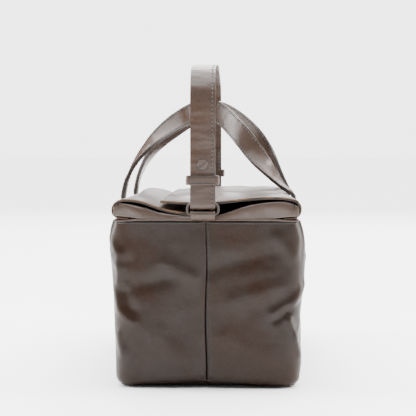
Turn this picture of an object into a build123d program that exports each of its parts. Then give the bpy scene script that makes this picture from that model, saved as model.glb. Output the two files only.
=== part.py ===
from build123d import *
import os

os.makedirs("parts", exist_ok=True)

# A leather satchel that stands on its base. X is its width, with the front panel at -X,
# Y its length, with the near end at -Y, and Z is up. All sizes are in millimetres.

# ---- driving dimensions: body ----
bag_length = 320.0        # end face to end face
base_half = 92.0          # half width at the base
waist_half = 98.5         # half width where the sides swell most
waist_height = 115.0
band_half = 95.0          # half width at the top band
seam_height = 171.0       # top edge of the panels, where the ends are seamed
corner_radius = 16.0      # upright corners
edge_radius = 10.0        # bottom edges
leather = 1.8             # panel leather
base_seam = 3.0           # height at which base and panels meet
board = 1.5               # stiffener in the base
board_margin = 4.0
lining_cloth = 0.8
lining_play = 0.3
lining_drop = 1.5         # lining stops below the seam

# ---- end facings: soft rolled strips over the end seams; heights are above the seam ----
facing_depth = 8.0
facing_setback = 1.0      # behind the end face
facing_side = 16.0        # height of the strip at its ends
facing_middle = 6.0       # height of the strip at its middle
facing_corner = 7.0
facing_play = 0.4

# ---- flaps; heights are above their hinges ----
flap_setback = 2.0        # from the end faces
flap_leather = 1.6
flap_cloth = 1.2          # facing under the flap
hinge_rise = 10.0         # above the seam
front_crown = 10.5        # the front flap's corner
front_curl = 8.0
front_tip_x = -16.0
front_tip_drop = 1.2      # the front flap dips below its hinge
rear_crown = 12.5         # the rear flap's corner
rear_curl = 10.0
rear_dome = 14.0
rear_tip_x = -46.0        # the rear flap laps over the front one
rear_tip_rise = 9.0
hinge_play = 0.4
snap_radius = 9.0
snap_height = 1.8
snap_play = 0.2
snap_spread = 150.0       # between the two snaps
snap_margin = 15.0        # from a flap's free edge

# ---- handles; heights are above the seam ----
handle_width = 22.0
handle_thick = 4.0
handle_spread = 136.0     # between the two legs of one handle
handle_base = 15.5
handle_apex = 117.0
handle_gap = 1.8          # half the gap between the handles where they lean together
handle_play = 0.3
handle_rise = {           # how each leg leaves its base: inward, outward along the bag, and up
    "front": (2.5, 4.0, 62.0),
    "rear": (11.0, 2.0, 30.0),
}
handle_crest = 40.0       # how flat the apex is
handle_steps = 9          # cross-sections of one leg, less one
handle_end_length = 67.0
handle_end_drop = 0.6      # below the flap when it is open
handle_end_thick = 2.4
handle_end_play = 0.3

# ---- shoulder strap; heights are above the seam ----
strap_shift = -3.0        # the loops are sewn a little to the front of the middle
strap_width = 25.0
strap_thick = 3.2
strap_gap = 0.9           # between the end face and the strap's fold
strap_corner = 150.0      # where the arch's legs would meet it
strap_crown = 167.0
strap_corner_radius = 40.0
strap_crown_radius = 600.0
tail_join = 29.0          # leg and tail lie together above this height
tail_top = 71.0

# ---- rings, loops, keepers and studs; heights are above the seam ----
wire = 3.0
bar_play = 0.4
ring_slack = 1.3          # beside the strap
ring_corner = 4.0
ring_rise = 6.0           # the lower bar
fold_gap = 1.2            # between the strap's fold and the tab's
tab_inset = 0.25          # narrower than the strap, each side
tab_leather = 1.8
keeper_height = 9.5
keeper_rise = 40.0
keeper_leather = 1.6
keeper_slack = 2.4        # beside the strap
keeper_play = 0.5         # in front of it and behind it
stud_rise = 55.5
stud_head_radius = 5.15
stud_head = 2.6
slot_width = 1.0
slot_depth = 0.9
slot_angle = 40.0
barrel_radius = 2.6
barrel_head_radius = 4.5
barrel_head = 1.2
shank_radius = 1.5
stud_play = 0.1

# ---- worked-out places ----
end = bag_length / 2
flap_length = bag_length - 2 * flap_setback
flap_thick = flap_leather + flap_cloth
hinge_x = band_half - flap_thick / 2
hinge_height = seam_height + hinge_rise
band_top = hinge_height - flap_thick / 2 - hinge_play
facing_half = band_half - flap_thick - facing_play
handle_apex_offset = (handle_width + handle_thick) / 2 * 0.5 ** 0.5 + handle_gap
fold_radius = wire / 2 + bar_play
ring_y = end + strap_gap + strap_thick + fold_radius
ring_width = strap_width + 2 * ring_slack + 2 * wire
lower_bar = seam_height + ring_rise
upper_bar = lower_bar + 2 * fold_radius + strap_thick + tab_leather + fold_gap
strap_outer = ring_y + fold_radius + strap_thick
strap_line = strap_outer - strap_thick / 2
tail_face = strap_outer - 2 * strap_thick
join_height = seam_height + tail_join
tail_height = seam_height + tail_top
stud_height = seam_height + stud_rise
tab_width = strap_width - 2 * tab_inset
keeper_width = strap_width + 2 * keeper_slack + 2 * keeper_leather
ENDS = {"near": -1, "far": 1}
SIDES = {"front": -1, "rear": 1}


def finish(builder, label):
    builder.part.label = label
    export_step(builder.part, f"parts/{label}.step")


def bag_form(inset, floor, top=seam_height):
    """The bag's outside shape, drawn in by inset and cut flat at floor and top."""
    with BuildPart() as form:
        with BuildSketch(Plane.XZ):
            with BuildLine():
                side = ThreePointArc(
                    (base_half - inset, 0), (waist_half - inset, waist_height), (band_half - inset, seam_height)
                )
                Polyline(side @ 1, (0, seam_height), (0, 0), side @ 0)
            make_face()
            mirror(about=Plane.YZ)
        extrude(amount=end - inset, both=True)
        split(bisect_by=Plane.XY.offset(inset), keep=Keep.TOP)
        uprights = form.edges().filter_by(lambda edge: abs((edge @ 1 - edge @ 0).Z) > seam_height / 2)
        fillet(uprights, radius=corner_radius - inset)
        fillet(form.faces().sort_by(Axis.Z)[0].edges(), radius=edge_radius - inset)
        split(bisect_by=Plane.XY.offset(floor), keep=Keep.TOP)
        split(bisect_by=Plane.XY.offset(top), keep=Keep.BOTTOM)
    return form.part


# ---- body ----
with BuildPart() as base_panel:
    add(bag_form(0, 0, base_seam))
    add(bag_form(leather, leather), mode=Mode.SUBTRACT)
finish(base_panel, "base_panel")

for name, side in SIDES.items():
    with BuildPart() as panel:
        add(bag_form(0, base_seam))
        add(bag_form(leather, leather), mode=Mode.SUBTRACT)
        split(bisect_by=Plane.YZ, keep=Keep.TOP if side > 0 else Keep.BOTTOM)
    finish(panel, f"{name}_panel")

with BuildPart() as base_board:
    with BuildSketch(Plane.XY.offset(leather)):
        RectangleRounded(
            2 * (base_half - edge_radius - board_margin),
            2 * (end - edge_radius - board_margin),
            corner_radius - leather,
        )
    extrude(amount=board)
finish(base_board, "base_board")

with BuildPart() as lining:
    cloth = leather + lining_play
    board_top = leather + board
    add(bag_form(cloth, board_top, seam_height - lining_drop))
    add(bag_form(cloth + lining_cloth, board_top + lining_cloth), mode=Mode.SUBTRACT)
finish(lining, "lining")

# ---- top bands: the panels' upper edges, up to the flaps' folds ----
for name, side in SIDES.items():
    with BuildPart() as band:
        with BuildSketch(Plane.XY.offset(seam_height)):
            with Locations((side * hinge_x, 0)):
                Rectangle(flap_thick, flap_length)
        extrude(amount=band_top - seam_height)
    finish(band, f"{name}_top_band")

# ---- end facings: plump strips that dip at the middle ----
for name, way in ENDS.items():
    outer = end - facing_setback
    with BuildPart() as facing:
        with BuildSketch(Plane.XZ.offset(-way * (outer - facing_depth / 2))) as strip:
            with BuildLine():
                top = ThreePointArc(
                    (-facing_half, seam_height + facing_side),
                    (0, seam_height + facing_middle),
                    (facing_half, seam_height + facing_side),
                )
                Polyline(top @ 1, (facing_half, seam_height), (-facing_half, seam_height), top @ 0)
            make_face()
            fillet(strip.vertices().group_by(Axis.Y)[-1], radius=facing_corner)
        extrude(amount=facing_depth / 2, both=True)
        long_edges = facing.edges().filter_by(lambda edge: edge.length > facing_half).group_by(Axis.Z)[-1]
        fillet(long_edges, radius=facing_depth * 0.3)
    finish(facing, f"{name}_end_facing")


# ---- flaps: leather over a facing, folded at the top band ----
def flap_line(side):
    """The middle of a flap's thickness, from its hinge to its free edge, across the bag."""
    if side < 0:
        corner = (-hinge_x, hinge_height + front_crown)
        tip = (front_tip_x, hinge_height - front_tip_drop)
        return FilletPolyline((-hinge_x, hinge_height), corner, tip, radius=front_curl)
    corner = (hinge_x, hinge_height + rear_crown)
    flat = (hinge_x - 2 * rear_curl, hinge_height + rear_crown)
    top = ((flat[0] + rear_tip_x) / 2, hinge_height + rear_dome)
    tip = (rear_tip_x, hinge_height + rear_tip_rise)
    return FilletPolyline((hinge_x, hinge_height), corner, flat, radius=rear_curl) + ThreePointArc(flat, top, tip)


for name, side in SIDES.items():
    outward = Side.LEFT if side < 0 else Side.RIGHT
    inward = Side.RIGHT if side < 0 else Side.LEFT
    line = flap_line(side)
    hinge = (side * hinge_x, hinge_height)

    with BuildPart() as flap:
        with BuildSketch(Plane.XZ):
            with BuildLine():
                add(line)
                offset(amount=flap_cloth / 2, side=outward, closed=False, mode=Mode.REPLACE)
            trace(line_width=flap_leather)
            with Locations(hinge):
                Circle(flap_thick / 2)
        extrude(amount=flap_length / 2, both=True)
    finish(flap, f"{name}_flap")

    with BuildPart() as flap_facing:
        with BuildSketch(Plane.XZ):
            with BuildLine():
                add(line)
                offset(amount=flap_leather / 2, side=inward, closed=False, mode=Mode.REPLACE)
            trace(line_width=flap_cloth)
            with Locations(hinge):
                Circle(flap_thick / 2, mode=Mode.SUBTRACT)
        extrude(amount=flap_length / 2, both=True)
    finish(flap_facing, f"{name}_flap_facing")

    # the snap halves face each other: over the front flap, under the rear flap
    seat = line.position_at(line.length - snap_margin, position_mode=PositionMode.LENGTH)
    along = line.tangent_at(line.length - snap_margin, position_mode=PositionMode.LENGTH)
    normal = Vector(-along.Y, 0, along.X)
    face = Vector(seat.X, 0, seat.Y) + normal * (flap_thick / 2 + snap_play)
    with BuildPart() as snap:
        with BuildSketch(Plane(origin=face, x_dir=(0, 1, 0), z_dir=normal)):
            with GridLocations(snap_spread, 0, 2, 1):
                Circle(snap_radius)
        extrude(amount=snap_height)
        fillet(snap.edges().filter_by(GeomType.CIRCLE), radius=snap_height * 0.2)
    finish(snap, f"{name}_flap_snap")

# ---- handle ends: sewn flat to the outside of the panels ----
end_line = handle_end_play + handle_end_thick / 2
handle_end_top = hinge_height - flap_thick / 2 - handle_end_drop
for name, side in SIDES.items():
    with BuildPart() as handle_ends:
        for place in (-handle_spread / 2, handle_spread / 2):
            with BuildSketch(Plane.XZ.offset(-place)):
                with BuildLine():
                    swell = ThreePointArc(
                        (side * (base_half + end_line), 0),
                        (side * (waist_half + end_line), waist_height),
                        (side * (band_half + end_line), seam_height),
                    )
                    Line(swell @ 1, (side * (band_half + end_line), handle_end_top))
                trace(line_width=handle_end_thick)
            extrude(amount=handle_width / 2, both=True)
        split(bisect_by=Plane.XY.offset(handle_end_top - handle_end_length), keep=Keep.TOP)
    finish(handle_ends, f"{name}_handle_ends")

# ---- handles: flat straps, edge-on at the base and turned face-up at the apex ----
for name, side in SIDES.items():
    rise = handle_rise[name]
    base = Vector(side * (band_half + handle_play + handle_thick / 2), -handle_spread / 2, seam_height + handle_base)
    apex = Vector(side * handle_apex_offset, 0, seam_height + handle_apex)
    leg = Bezier(
        base,
        base + Vector(-side * rise[0], -rise[1], rise[2]),
        apex + Vector(0, -handle_crest, 0),
        apex,
    )
    flat_across = Vector(0, 1, 0)
    turned_across = Vector(side, 0, 1).normalized()
    with BuildPart() as handle:
        for step in range(handle_steps + 1):
            share = step / handle_steps
            turn = share * share * (3 - 2 * share)
            along = leg % share
            across = flat_across * (1 - turn) + turned_across * turn
            across = across - along * across.dot(along)
            with BuildSketch(Plane(origin=leg @ share, x_dir=across, z_dir=along)):
                Rectangle(handle_width, handle_thick)
        loft()
        mirror(about=Plane.XZ)
    finish(handle, f"{name}_handle")

# ---- shoulder strap: an arch over the bag, folded back through a ring at each end ----
with BuildPart() as shoulder_strap:
    with BuildSketch(Plane.YZ.offset(strap_shift)):
        with BuildLine():
            FilletPolyline(
                (-strap_line, upper_bar),
                (-strap_line, seam_height + strap_corner),
                (0, seam_height + strap_crown),
                (strap_line, seam_height + strap_corner),
                (strap_line, upper_bar),
                radius=[strap_corner_radius, strap_crown_radius, strap_corner_radius],
            )
        trace(line_width=strap_thick)
        for way in ENDS.values():
            with Locations((way * (strap_outer - strap_thick), (join_height + tail_height) / 2)):
                Rectangle(2 * strap_thick, tail_height - join_height)
    extrude(amount=strap_width / 2, both=True)
    for way in ENDS.values():
        with BuildSketch(Plane.YZ.offset(strap_shift)):
            with Locations((way * ring_y, upper_bar)):
                Circle(fold_radius + strap_thick)
            with Locations((way * (strap_outer - strap_thick), join_height)):
                Rectangle(2 * strap_thick, wire)
            make_hull()
        extrude(amount=strap_width / 2, both=True)
        with BuildSketch(Plane.YZ.offset(strap_shift)):
            with Locations((way * ring_y, upper_bar)):
                Circle(fold_radius)
            with Locations((way * (strap_outer - strap_thick - bar_play / 2), join_height - wire)):
                Rectangle(bar_play, wire)
            make_hull()
        extrude(amount=strap_width / 2, both=True, mode=Mode.SUBTRACT)
        with BuildSketch(Plane.XZ.offset(-way * (strap_outer - strap_thick))):
            with Locations((strap_shift, stud_height)):
                Circle(barrel_radius + stud_play)
        extrude(amount=2 * strap_thick, both=True, mode=Mode.SUBTRACT)
finish(shoulder_strap, "shoulder_strap")

for name, way in ENDS.items():
    # planes across the strap whose normals point outward, away from the bag
    def across_strap(distance):
        return Plane(origin=(strap_shift, way * distance, stud_height), x_dir=(-way, 0, 0), z_dir=(0, way, 0))

    with BuildPart() as stud_screw:
        with BuildSketch(across_strap(strap_outer)):
            Circle(stud_head_radius)
        extrude(amount=stud_head)
        rim = stud_screw.edges().filter_by(GeomType.CIRCLE).sort_by(Axis.Y)[-1 if way > 0 else 0]
        fillet(rim, radius=stud_head * 0.4)
        with BuildSketch(across_strap(strap_outer + stud_head)):
            Rectangle(2 * stud_head_radius, slot_width, rotation=slot_angle)
        extrude(amount=-slot_depth, mode=Mode.SUBTRACT)
        with BuildSketch(across_strap(strap_outer)):
            Circle(shank_radius)
        extrude(amount=-(2 * strap_thick - 2 * stud_play))
    finish(stud_screw, f"{name}_stud_screw")

    with BuildPart() as stud_barrel:
        with BuildSketch(across_strap(tail_face)):
            Circle(barrel_head_radius)
        extrude(amount=-barrel_head)
        with BuildSketch(across_strap(tail_face)):
            Circle(barrel_radius)
        extrude(amount=2 * strap_thick - stud_play)
        with BuildSketch(across_strap(tail_face)):
            Circle(shank_radius + stud_play)
        extrude(amount=2 * strap_thick, mode=Mode.SUBTRACT)
    finish(stud_barrel, f"{name}_stud_barrel")

    with BuildPart() as ring:
        across = (ring_width - wire) / 2
        with BuildLine(Plane.XZ.offset(-way * ring_y)) as bars:
            FilletPolyline(
                (strap_shift, upper_bar),
                (strap_shift + across, upper_bar),
                (strap_shift + across, lower_bar),
                (strap_shift, lower_bar),
                radius=ring_corner,
            )
        with BuildSketch(Plane(origin=bars.line @ 0, z_dir=(1, 0, 0))):
            Circle(wire / 2)
        sweep(path=bars.line)
        mirror(about=Plane.YZ.offset(strap_shift))
    finish(ring, f"{name}_ring")

    with BuildPart() as anchor_tab:
        foot = end - facing_setback
        with BuildSketch(Plane.YZ.offset(strap_shift)):
            with Locations((way * ring_y, lower_bar)):
                Circle(wire / 2 + bar_play + tab_leather)
            with Locations((way * (foot + tab_leather / 2), seam_height + bar_play + tab_leather / 2)):
                Rectangle(tab_leather, tab_leather)
            make_hull()
            with Locations((way * ring_y, lower_bar)):
                Circle(wire / 2 + bar_play, mode=Mode.SUBTRACT)
        extrude(amount=tab_width / 2, both=True)
    finish(anchor_tab, f"{name}_anchor_tab")

    with BuildPart() as keeper:
        channel = 2 * strap_thick + 2 * keeper_play
        with BuildSketch(Plane.XY.offset(seam_height + keeper_rise - keeper_height / 2)):
            with Locations((strap_shift, way * (strap_outer - strap_thick))):
                RectangleRounded(keeper_width, channel + 2 * keeper_leather, 2 * keeper_leather)
                RectangleRounded(
                    keeper_width - 2 * keeper_leather, channel, keeper_leather, mode=Mode.SUBTRACT
                )
        extrude(amount=keeper_height)
    finish(keeper, f"{name}_keeper")
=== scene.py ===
import bpy
import math
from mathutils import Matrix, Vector, noise


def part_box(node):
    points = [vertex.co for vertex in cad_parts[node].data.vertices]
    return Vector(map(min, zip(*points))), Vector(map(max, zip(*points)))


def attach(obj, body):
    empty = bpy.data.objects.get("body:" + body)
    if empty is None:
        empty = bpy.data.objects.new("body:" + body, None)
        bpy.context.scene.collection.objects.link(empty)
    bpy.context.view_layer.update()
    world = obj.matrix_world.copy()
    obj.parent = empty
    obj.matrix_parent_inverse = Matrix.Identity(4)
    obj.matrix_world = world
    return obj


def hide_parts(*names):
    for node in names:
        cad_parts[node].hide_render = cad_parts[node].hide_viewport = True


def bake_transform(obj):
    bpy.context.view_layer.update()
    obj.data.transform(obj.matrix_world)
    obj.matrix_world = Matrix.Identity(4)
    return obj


bl_info = {
    "name": "Leather Satchel",
    "version": (1, 0, 0),
    "blender": (4, 5, 0),
    "location": "View3D > Sidebar > Satchel",
    "description": "Builds a soft leather satchel around its packed frame",
    "category": "Add Mesh",
}

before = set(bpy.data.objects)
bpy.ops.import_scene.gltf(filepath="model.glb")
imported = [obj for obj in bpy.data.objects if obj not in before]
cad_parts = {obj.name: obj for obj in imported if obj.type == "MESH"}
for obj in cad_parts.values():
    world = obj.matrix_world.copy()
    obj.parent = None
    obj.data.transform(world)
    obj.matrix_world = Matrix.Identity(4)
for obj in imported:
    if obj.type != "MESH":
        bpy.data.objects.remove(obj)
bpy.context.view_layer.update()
MM = 0.001

# The bag's working sizes in millimetres, read from the frame's boxes.
LOW, HIGH = (Vector(c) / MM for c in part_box("front_panel"))
END = HIGH.y
SEAM = HIGH.z
RING_LOW, RING_HIGH = (Vector(c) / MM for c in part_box("far_ring"))
WIRE = RING_HIGH.y - RING_LOW.y
RING_Y = (RING_HIGH.y + RING_LOW.y) / 2
SHIFT = (RING_HIGH.x + RING_LOW.x) / 2
UPPER_BAR = RING_HIGH.z - WIRE / 2


class SatchelSizes(bpy.types.PropertyGroup):
    """Sizes that a maker would change."""
    leather: bpy.props.FloatProperty(
        name="Leather", description="Thickness of the panel leather", default=1.6 * MM, unit="LENGTH")
    stitch_pitch: bpy.props.FloatProperty(
        name="Stitch Pitch", description="From one stitch to the next", default=4.1 * MM, unit="LENGTH")
    stitch_length: bpy.props.FloatProperty(
        name="Stitch Length", description="Visible length of a stitch", default=2.5 * MM, unit="LENGTH")
    thread: bpy.props.FloatProperty(
        name="Thread", description="Thickness of the thread", default=0.85 * MM, unit="LENGTH")


class SatchelColours(bpy.types.PropertyGroup):
    """Colours that a maker would change."""
    dark: bpy.props.FloatVectorProperty(
        name="Grey Leather", description="The leather's cool tone", size=3, subtype="COLOR",
        default=(0.040, 0.0270, 0.0212))
    brown: bpy.props.FloatVectorProperty(
        name="Brown Leather", description="The leather's warm tone", size=3, subtype="COLOR",
        default=(0.036, 0.0160, 0.0080))
    raw: bpy.props.FloatVectorProperty(
        name="Raw Edge", description="Cut edge of the leather", size=3, subtype="COLOR",
        default=(0.115, 0.056, 0.021))
    thread: bpy.props.FloatVectorProperty(
        name="Thread", description="Sewing thread", size=3, subtype="COLOR", default=(0.085, 0.066, 0.055))
    lining: bpy.props.FloatVectorProperty(
        name="Lining", description="Inside cloth", size=3, subtype="COLOR", default=(0.004, 0.0038, 0.0035))


# ---------------------------------------------------------------- shader maths
class Value:
    """A shader socket that takes part in arithmetic."""

    def __init__(self, shader, socket):
        self.shader = shader
        self.socket = socket

    def _math(self, operation, *values):
        node = self.shader.node("ShaderNodeMath", {"operation": operation}, {i: v for i,
                                                                             v in enumerate(values)})
        return Value(self.shader, node.outputs[0])

    def __add__(self, other):
        return self._math("ADD", self, other)

    def __sub__(self, other):
        return self._math("SUBTRACT", self, other)

    def __rsub__(self, other):
        return self._math("SUBTRACT", other, self)

    def __mul__(self, other):
        return self._math("MULTIPLY", self, other)

    __radd__ = __add__
    __rmul__ = __mul__


class Shader:
    """A material under construction."""

    def __init__(self, name):
        self.material = bpy.data.materials.new(name)
        self.material.use_nodes = True
        self.tree = self.material.node_tree
        self.surface = self.tree.nodes["Principled BSDF"]

    def node(self, kind, settings=None, inputs=None):
        node = self.tree.nodes.new(kind)
        for name, value in (settings or {}).items():
            if name == "ramp":
                for stop, (place, colour) in zip(node.color_ramp.elements, value):
                    stop.position = place
                    stop.color = colour
            else:
                setattr(node, name, value)
        for name, value in (inputs or {}).items():
            self.join(node.inputs[name], value)
        return node

    def join(self, socket, value):
        if isinstance(value, Value):
            self.tree.links.new(value.socket, socket)
        else:
            socket.default_value = value

    def out(self, node, name):
        return Value(self, node.outputs[name])

    def place(self, which="Object", scale=(1, 1, 1)):
        coordinates = self.node("ShaderNodeTexCoord")
        mapping = self.node("ShaderNodeMapping", {}, {"Vector": self.out(coordinates, which), "Scale": scale})
        return self.out(mapping, "Vector")

    def cloud(self, place, scale, detail=3.0, rough=0.5):
        node = self.node(
            "ShaderNodeTexNoise", {}, {"Vector": place, "Scale": scale, "Detail": detail, "Roughness": rough})
        return self.out(node, "Fac")

    def cells(self, place, scale):
        node = self.node(
            "ShaderNodeTexVoronoi", {"feature": "SMOOTH_F1"}, {"Vector": place, "Scale": scale,
                                                               "Smoothness": 0.35})
        return self.out(node, "Distance")

    def step(self, value, low, high):
        black, white = (0, 0, 0, 1), (1, 1, 1, 1)
        node = self.node("ShaderNodeValToRGB", {"ramp": [(low, black), (high, white)]}, {"Fac": value})
        return self.out(node, "Color")

    def mix(self, share, first, second):
        node = self.node("ShaderNodeMix", {"data_type": "RGBA"}, {"Factor": share})
        self.join(node.inputs[6], tint(first))
        self.join(node.inputs[7], tint(second))
        return Value(self, node.outputs[2])

    def bump(self, height, distance, under=None):
        inputs = {"Height": height, "Distance": distance, "Strength": 1.0}
        if under is not None:
            inputs["Normal"] = under
        return self.out(self.node("ShaderNodeBump", {}, inputs), "Normal")

    def finish(self, **sockets):
        for name, value in sockets.items():
            self.join(self.surface.inputs[name.replace("_", " ")], value)
        return self.material


def tint(colour, gain=1.0):
    if isinstance(colour, Value):
        return colour
    return tuple(c * gain for c in colour[:3]) + (1.0,)


def leather(name, cool, warm, rough=0.40, warmth=(0.45, 0.60), coat=0.12, grain=0.04, wrinkle=0.25, gain=1.0,
            shine=0.35):
    """Smooth dyed leather: cool and warm patches, fine pores and soft creases."""
    s = Shader(name)
    place = s.place()
    patches = s.step(s.cloud(place, 17.0, 3.0, 0.55), *warmth)
    speckle = s.cloud(place, 420.0, 4.0, 0.6)
    smoke = s.cloud(place, 55.0, 4.0, 0.6)
    colour = s.mix(patches, tint(cool, gain), tint(warm, gain))
    colour = s.mix(s.step(smoke, 0.35, 0.75) * 0.35, colour, tint(warm, gain * 0.75))
    colour = s.mix(s.step(speckle, 0.45, 0.75) * 0.30, colour, tint(cool, gain * 1.35))
    pores = s.cells(place, 1100.0)
    creases = s.cloud(s.place(scale=(1.0, 1.0, 1.0)), 140.0, 5.0, 0.6)
    normal = s.bump(creases, wrinkle * MM)
    normal = s.bump(pores, grain * MM, normal)
    return s.finish(
        Base_Color=colour,
        Roughness=rough + (smoke - 0.5) * 0.25,
        Specular_IOR_Level=shine,
        Coat_Weight=coat,
        Coat_Roughness=0.28,
        Normal=normal,
    )


def raw_edge(name, colour):
    """The cut edge of veg-tanned leather, with its fibres and stains."""
    s = Shader(name)
    place = s.place(scale=(1.0, 1.0, 1.0))
    fibres = s.cloud(place, 900.0, 4.0, 0.7)
    stains = s.cloud(place, 60.0, 3.0, 0.5)
    tone = s.mix(s.step(stains, 0.42, 0.60), tint(colour), tint(colour, 0.16))
    tone = s.mix(fibres * 0.4, tone, tint(colour, 0.4))
    return s.finish(Base_Color=tone, Roughness=0.75, Normal=s.bump(fibres, 0.15 * MM))


def woven(name, colour, pitch=0.6):
    """Plain weave cloth."""
    s = Shader(name)
    place = s.place("UV")
    turns = 2 * math.pi / (pitch * MM)
    split = s.node("ShaderNodeSeparateXYZ", {}, {"Vector": place})
    warp = (s.out(split, "X") * turns)._math("SINE", s.out(split, "X") * turns)
    weft = (s.out(split, "Y") * turns)._math("SINE", s.out(split, "Y") * turns)
    weave = warp * weft * 0.5 + 0.5
    colour = s.mix(weave, tint(colour, 0.7), tint(colour, 1.3))
    return s.finish(
        Base_Color=colour, Roughness=0.85 + weave * 0.1, Specular_IOR_Level=0.15, Normal=s.bump(weave,
                                                                                                0.12 * MM))


def spun(name, colour):
    """Waxed sewing thread with its twist."""
    s = Shader(name)
    twist = s.cloud(s.place(), 1500.0, 2.0, 0.5)
    tone = s.mix(twist, tint(colour, 0.7), tint(colour, 1.6))
    return s.finish(Base_Color=tone, Roughness=0.6, Normal=s.bump(twist, 0.1 * MM))


def coated_metal(name, colour, wear, rough=0.38, coat=0.3, bare=0.6):
    """Painted metal, rubbed through in scattered patches."""
    s = Shader(name)
    place = s.place()
    rub = s.step(s.cloud(place, 260.0, 4.0, 0.6), 0.60, 0.72)
    haze = s.cloud(place, 90.0, 3.0, 0.5)
    tone = s.mix(haze, tint(colour, 0.8), tint(colour, 1.25))
    tone = s.mix(rub * 0.5, tone, tint(wear))
    return s.finish(
        Base_Color=tone, Metallic=rub * bare, Roughness=rough + haze * 0.15, Specular_IOR_Level=0.3,
        Coat_Weight=coat, Coat_Roughness=0.2, Normal=s.bump(haze, 0.05 * MM))


def board(name, colour):
    """Pressed fibreboard."""
    s = Shader(name)
    fibres = s.cloud(s.place(scale=(1.0, 3.0, 1.0)), 400.0, 5.0, 0.7)
    tone = s.mix(fibres, tint(colour, 0.7), tint(colour, 1.2))
    return s.finish(Base_Color=tone, Roughness=0.8, Normal=s.bump(fibres, 0.2 * MM))


MATERIALS = {}


def material(name):
    """Each finish is made once, when a piece first asks for it."""
    if name not in MATERIALS:
        c = bpy.context.scene.satchel_colours
        make = {
            # The leather pieces share one recipe and differ in gain. The panels' low gain is partly the leather's
            # dark colour and partly painted shade on the upright walls, which the lights reach less than the flap
            # tops.
            "panel": lambda: leather("panel_leather", c.dark, c.brown, 0.36, coat=0.04, grain=0.07, gain=0.53,
                                     shine=0.15),
            # The flap leather's high gain is painted light on the top-lit flaps and end facings.
            "flap": lambda: leather("flap_leather", c.dark, c.brown, 0.33, (0.5, 0.8), 0.4, gain=1.5),
            # The front flap's copy of the flap leather, at a lower gain: painted shade.
            "shaded_flap": lambda: leather("shaded_flap_leather", c.dark, c.brown, 0.38, (0.5, 0.8), 0.15,
                                          gain=1.1),
            "strap": lambda: leather("strap_leather", c.dark, c.brown, 0.34, (0.5, 0.75), 0.10, 0.04, 0.35,
                                     1.3, 0.25),
            "under": lambda: leather("under_leather", c.brown, c.brown, 0.7, coat=0.0, gain=0.8),
            "raw": lambda: raw_edge("raw_edge", c.raw),
            "dyed": lambda: leather("dyed_edge", c.dark, c.brown, 0.5, coat=0.1, gain=0.45),
            "thread": lambda: spun("sewing_thread", c.thread),
            "dark_thread": lambda: spun("dark_thread", (0.006, 0.0045, 0.0035)),
            # dark colour for the needle holes at stitch ends and the disc under each stud: painted shade
            "hole_shade": lambda: spun("needle_hole_shade", (0.006, 0.005, 0.004)),
            "lining": lambda: woven("lining_cloth", c.lining),
            "wire": lambda: coated_metal("painted_wire", (0.030, 0.021, 0.0160), (0.09, 0.072, 0.058), 0.42,
                                         0.05, 0.3),
            "stud": lambda: coated_metal("stud_paint", (0.062, 0.043, 0.034), (0.11, 0.083, 0.068), 0.40,
                                         0.06, 0.3),
            "brass": lambda: coated_metal("barrel_brass", (0.30, 0.20, 0.09), (0.6, 0.5, 0.3), 0.3, 0.1, 1.0),
            "steel": lambda: coated_metal("snap_steel", (0.16, 0.145, 0.135), (0.5, 0.5, 0.5), 0.3, 0.1, 1.0),
            "board": lambda: board("stiffener_board", (0.30, 0.22, 0.14)),
        }
        MATERIALS[name] = make[name]()
    return MATERIALS[name]


# ---------------------------------------------------------------- working leather
def smooth(t):
    t = min(max(t, 0.0), 1.0)
    return t * t * (3 - 2 * t)


def through(points, t):
    """Point at place t, counted in points, on a smooth line through all of them."""
    t = min(max(t, 0.0), len(points) - 1.0)
    i = min(int(t), len(points) - 2)
    f = t - i
    a, b, c, d = (points[min(max(i + k, 0), len(points) - 1)] for k in (-1, 0, 1, 2))
    weights = (
        -0.5 * f + f * f - 0.5 * f ** 3,
        1 - 2.5 * f * f + 1.5 * f ** 3,
        0.5 * f + 2 * f * f - 1.5 * f ** 3,
        -0.5 * f * f + 0.5 * f ** 3,
    )
    return tuple(sum(w * p[k] for w, p in zip(weights, (a, b, c, d))) for k in range(len(a)))


def glide(points, x):
    """Height at x of a smooth line through a few given points."""
    if x <= points[0][0]:
        return points[0][1]
    for i, ((x0, _), (x1, _)) in enumerate(zip(points, points[1:])):
        if x <= x1:
            return through(points, i + (x - x0) / (x1 - x0))[1]
    return points[-1][1]


def bell(distance, width):
    return math.exp(-(distance / width) ** 2)


def ripple(x, y, size, seed):
    """Soft unevenness between -1 and 1."""
    return noise.noise(Vector((x / size, y / size, seed * 7.3)))


def spread(low, high, step, fine=0.0):
    """Places from low to high, at most step apart, closer together towards both ends if fine is given."""
    places = [low]
    while places[-1] < high - 1e-6:
        edge = min(places[-1] - low, high - places[-1])
        gap = min(step, fine + edge * 0.25) if fine else step
        places.append(min(places[-1] + gap, high))
    if len(places) > 2 and places[-1] - places[-2] < 0.4 * (places[-2] - places[-3]):
        places.pop(-2)
    return places


def select_only(piece):
    bpy.ops.object.select_all(action="DESELECT")
    piece.select_set(True)
    bpy.context.view_layer.objects.active = piece


def modify(piece, kind, **settings):
    """Adds a modifier and applies it."""
    select_only(piece)
    modifier = piece.modifiers.new(kind.title(), kind)
    for name, value in settings.items():
        setattr(modifier, name, value)
    bpy.ops.object.modifier_apply(modifier=modifier.name)


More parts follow.
